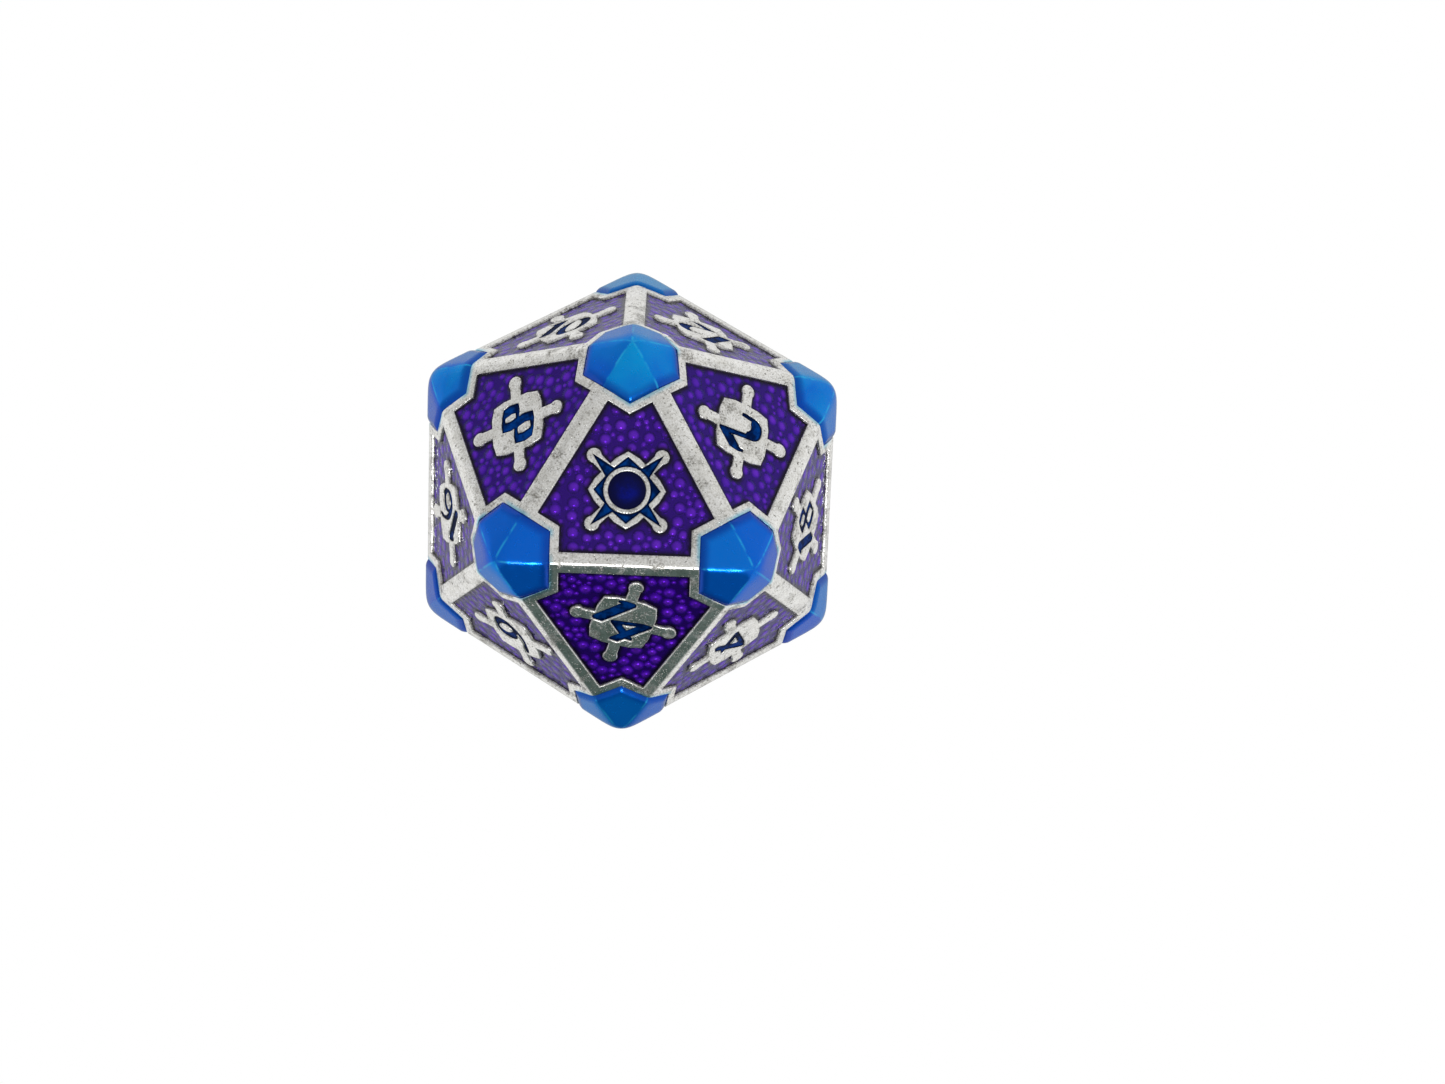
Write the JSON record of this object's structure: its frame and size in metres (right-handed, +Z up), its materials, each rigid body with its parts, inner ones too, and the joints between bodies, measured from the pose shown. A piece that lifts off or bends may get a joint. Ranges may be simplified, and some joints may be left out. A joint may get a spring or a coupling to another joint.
{
  "type": "polyhedral die",
  "caption": "Icosahedral die in plated cast metal with enamelled faces and numerals, domed enamel corners and a star medallion on its highest face.",
  "frame": {"origin": "middle of face 1, on the surface the die lies on, straight below the middle of the die", "axes": "+Z up, through the middles of faces 1 and 20; +Y towards the corner that the emblem's top points at; +X to the right of the emblem seen from above"},
  "size_m": [0.0214, 0.0242, 0.02],
  "materials": {
    "plated_metal": "worn bright nickel plating over a zinc casting",
    "panel_enamel": "glossy translucent purple epoxy enamel with a beaded surface",
    "cap_enamel": "glossy translucent blue epoxy enamel",
    "numeral_enamel": "glossy deep blue epoxy enamel",
    "gem_enamel": "glossy dark navy epoxy enamel, slightly domed"
  },
  "bodies": {
    "root": {"corner_cap_01": "cap_enamel", "corner_cap_02": "cap_enamel", "corner_cap_03": "cap_enamel", "corner_cap_04": "cap_enamel", "corner_cap_05": "cap_enamel", "corner_cap_06": "cap_enamel", "corner_cap_07": "cap_enamel", "corner_cap_08": "cap_enamel", "corner_cap_09": "cap_enamel", "corner_cap_10": "cap_enamel", "corner_cap_11": "cap_enamel", "corner_cap_12": "cap_enamel", "die_casting": "plated_metal", "emblem_gem_inlay": "gem_enamel", "emblem_star_inlay": "numeral_enamel", "numeral_inlay_01": "numeral_enamel", "numeral_inlay_02": "numeral_enamel", "numeral_inlay_03": "numeral_enamel", "numeral_inlay_04": "numeral_enamel", "numeral_inlay_05": "numeral_enamel", "numeral_inlay_06": "numeral_enamel", "numeral_inlay_07": "numeral_enamel", "numeral_inlay_08": "numeral_enamel", "numeral_inlay_09": "numeral_enamel", "numeral_inlay_10": "numeral_enamel", "numeral_inlay_11": "numeral_enamel", "numeral_inlay_12": "numeral_enamel", "numeral_inlay_13": "numeral_enamel", "numeral_inlay_14": "numeral_enamel", "numeral_inlay_15": "numeral_enamel", "numeral_inlay_16": "numeral_enamel", "numeral_inlay_17": "numeral_enamel", "numeral_inlay_18": "numeral_enamel", "numeral_inlay_19": "numeral_enamel", "panel_enamel_01": "panel_enamel", "panel_enamel_02": "panel_enamel", "panel_enamel_03": "panel_enamel", "panel_enamel_04": "panel_enamel", "panel_enamel_05": "panel_enamel", "panel_enamel_06": "panel_enamel", "panel_enamel_07": "panel_enamel", "panel_enamel_08": "panel_enamel", "panel_enamel_09": "panel_enamel", "panel_enamel_10": "panel_enamel", "panel_enamel_11": "panel_enamel", "panel_enamel_12": "panel_enamel", "panel_enamel_13": "panel_enamel", "panel_enamel_14": "panel_enamel", "panel_enamel_15": "panel_enamel", "panel_enamel_16": "panel_enamel", "panel_enamel_17": "panel_enamel", "panel_enamel_18": "panel_enamel", "panel_enamel_19": "panel_enamel", "panel_enamel_20": "panel_enamel"}
  },
  "joints": []
}
